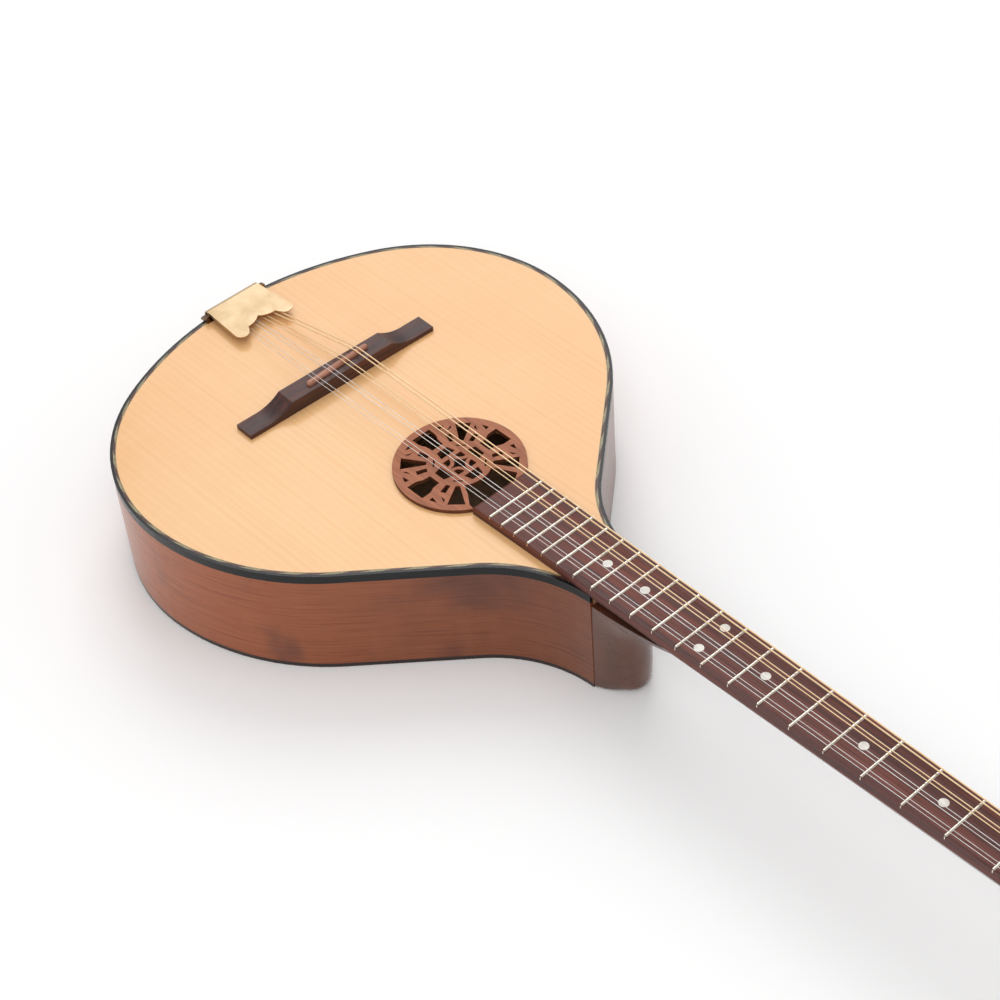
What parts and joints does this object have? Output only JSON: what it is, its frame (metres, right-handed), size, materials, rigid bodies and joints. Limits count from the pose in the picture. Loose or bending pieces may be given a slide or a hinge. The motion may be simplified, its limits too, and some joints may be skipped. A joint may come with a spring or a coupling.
{
  "type": "flat-backed bouzouki",
  "caption": "Long-necked plucked lute with a teardrop flat-backed body, pierced rosette, floating bridge, tailpiece and paired strings wound on geared pegs.",
  "frame": {"origin": "centre of the bounding box, at the outside face of the flat back", "axes": "+X along the neck towards the head, +Y to the side of the thick strings, +Z out of the soundboard"},
  "size_m": [0.9252, 0.3384, 0.0937],
  "materials": {
    "spruce_top": "gloss lacquer",
    "purfling": "gloss lacquer",
    "binding": "polished",
    "maple_stained": "gloss lacquer over stain",
    "inner_wood": "bare",
    "brace_spruce": "bare",
    "rosette_wood": "satin",
    "dark_rosewood": "satin",
    "rosewood": "satin",
    "saddle_wood": "satin",
    "tail_metal": "polished",
    "steel": "polished",
    "fret_wire": "polished",
    "pearl": "polished",
    "bone": "satin",
    "tuner_metal": "plated",
    "black_plastic": "polished",
    "button_plastic": "polished",
    "string_steel": "plain wire",
    "string_bronze": "round wound"
  },
  "bodies": {
    "instrument": {"back_braces": "brace_spruce", "back_linings": "inner_wood", "back_plate": "maple_stained", "bridge": "dark_rosewood", "bridge_saddle": "saddle_wood", "end_pin": "dark_rosewood", "fret_markers": "pearl", "fretboard": "rosewood", "frets": "fret_wire", "headplate": "rosewood", "neck": "maple_stained", "neck_block": "inner_wood", "nut": "bone", "post_bushings": "tuner_metal", "rosette": "rosette_wood", "side_bass": "maple_stained", "side_treble": "maple_stained", "soundboard": "spruce_top", "soundboard_purfling": "purfling", "string_course_1": "string_steel", "string_course_2": "string_steel", "string_course_3": "string_bronze", "string_course_4": "string_bronze", "tail_block": "inner_wood", "tailpiece_base": "tail_metal", "tailpiece_cover": "tail_metal", "tailpiece_screws": "steel", "top_binding": "binding", "top_braces": "brace_spruce", "top_linings": "inner_wood", "truss_cover_screws": "steel", "truss_rod": "steel", "truss_rod_cover": "black_plastic", "tuner_plate_bass": "tuner_metal", "tuner_plate_treble": "tuner_metal", "tuner_screws": "tuner_metal"},
    "post_1": {"string_post_1": "tuner_metal"},
    "key_1": {"worm_shaft_1": "tuner_metal", "tuner_button_1": "button_plastic"},
    "post_2": {"string_post_2": "tuner_metal"},
    "key_2": {"worm_shaft_2": "tuner_metal", "tuner_button_2": "button_plastic"},
    "post_3": {"string_post_3": "tuner_metal"},
    "key_3": {"worm_shaft_3": "tuner_metal", "tuner_button_3": "button_plastic"},
    "post_4": {"string_post_4": "tuner_metal"},
    "key_4": {"worm_shaft_4": "tuner_metal", "tuner_button_4": "button_plastic"},
    "post_5": {"string_post_5": "tuner_metal"},
    "key_5": {"worm_shaft_5": "tuner_metal", "tuner_button_5": "button_plastic"},
    "post_6": {"string_post_6": "tuner_metal"},
    "key_6": {"worm_shaft_6": "tuner_metal", "tuner_button_6": "button_plastic"},
    "post_7": {"string_post_7": "tuner_metal"},
    "key_7": {"worm_shaft_7": "tuner_metal", "tuner_button_7": "button_plastic"},
    "post_8": {"string_post_8": "tuner_metal"},
    "key_8": {"worm_shaft_8": "tuner_metal", "tuner_button_8": "button_plastic"}
  },
  "joints": [
    {"name": "post_spin_1", "type": "hinge", "parent": "instrument", "child": "post_1", "pos_m": [0.36125, -0.021, 0.06935], "axis": [0.2419, 0, 0.9703], "continuous": true},
    {"name": "key_spin_1", "type": "hinge", "parent": "instrument", "child": "key_1", "pos_m": [0.34719, -0.041, 0.05266], "axis": [0, -1, 0], "continuous": true},
    {"name": "post_spin_2", "type": "hinge", "parent": "instrument", "child": "post_2", "pos_m": [0.38648, -0.021, 0.06306], "axis": [0.2419, 0, 0.9703], "continuous": true},
    {"name": "key_spin_2", "type": "hinge", "parent": "instrument", "child": "key_2", "pos_m": [0.37242, -0.041, 0.04637], "axis": [0, -1, 0], "continuous": true},
    {"name": "post_spin_3", "type": "hinge", "parent": "instrument", "child": "post_3", "pos_m": [0.4117, -0.021, 0.05677], "axis": [0.2419, 0, 0.9703], "continuous": true},
    {"name": "key_spin_3", "type": "hinge", "parent": "instrument", "child": "key_3", "pos_m": [0.39765, -0.041, 0.04008], "axis": [0, -1, 0], "continuous": true},
    {"name": "post_spin_4", "type": "hinge", "parent": "instrument", "child": "post_4", "pos_m": [0.43693, -0.021, 0.05049], "axis": [0.2419, 0, 0.9703], "continuous": true},
    {"name": "key_spin_4", "type": "hinge", "parent": "instrument", "child": "key_4", "pos_m": [0.42288, -0.041, 0.03379], "axis": [0, -1, 0], "continuous": true},
    {"name": "post_spin_5", "type": "hinge", "parent": "instrument", "child": "post_5", "pos_m": [0.43693, 0.021, 0.05049], "axis": [0.2419, 0, 0.9703], "continuous": true},
    {"name": "key_spin_5", "type": "hinge", "parent": "instrument", "child": "key_5", "pos_m": [0.42288, 0.041, 0.03379], "axis": [0, 1, 0], "continuous": true},
    {"name": "post_spin_6", "type": "hinge", "parent": "instrument", "child": "post_6", "pos_m": [0.4117, 0.021, 0.05677], "axis": [0.2419, 0, 0.9703], "continuous": true},
    {"name": "key_spin_6", "type": "hinge", "parent": "instrument", "child": "key_6", "pos_m": [0.39765, 0.041, 0.04008], "axis": [0, 1, 0], "continuous": true},
    {"name": "post_spin_7", "type": "hinge", "parent": "instrument", "child": "post_7", "pos_m": [0.38648, 0.021, 0.06306], "axis": [0.2419, 0, 0.9703], "continuous": true},
    {"name": "key_spin_7", "type": "hinge", "parent": "instrument", "child": "key_7", "pos_m": [0.37242, 0.041, 0.04637], "axis": [0, 1, 0], "continuous": true},
    {"name": "post_spin_8", "type": "hinge", "parent": "instrument", "child": "post_8", "pos_m": [0.36125, 0.021, 0.06935], "axis": [0.2419, 0, 0.9703], "continuous": true},
    {"name": "key_spin_8", "type": "hinge", "parent": "instrument", "child": "key_8", "pos_m": [0.34719, 0.041, 0.05266], "axis": [0, 1, 0], "continuous": true}
  ],
  "couplings": [
    {"joint": "key_spin_1", "follows": "post_spin_1", "ratio": -14},
    {"joint": "key_spin_2", "follows": "post_spin_2", "ratio": -14},
    {"joint": "key_spin_3", "follows": "post_spin_3", "ratio": -14},
    {"joint": "key_spin_4", "follows": "post_spin_4", "ratio": -14},
    {"joint": "key_spin_5", "follows": "post_spin_5", "ratio": 14},
    {"joint": "key_spin_6", "follows": "post_spin_6", "ratio": 14},
    {"joint": "key_spin_7", "follows": "post_spin_7", "ratio": 14},
    {"joint": "key_spin_8", "follows": "post_spin_8", "ratio": 14}
  ]
}
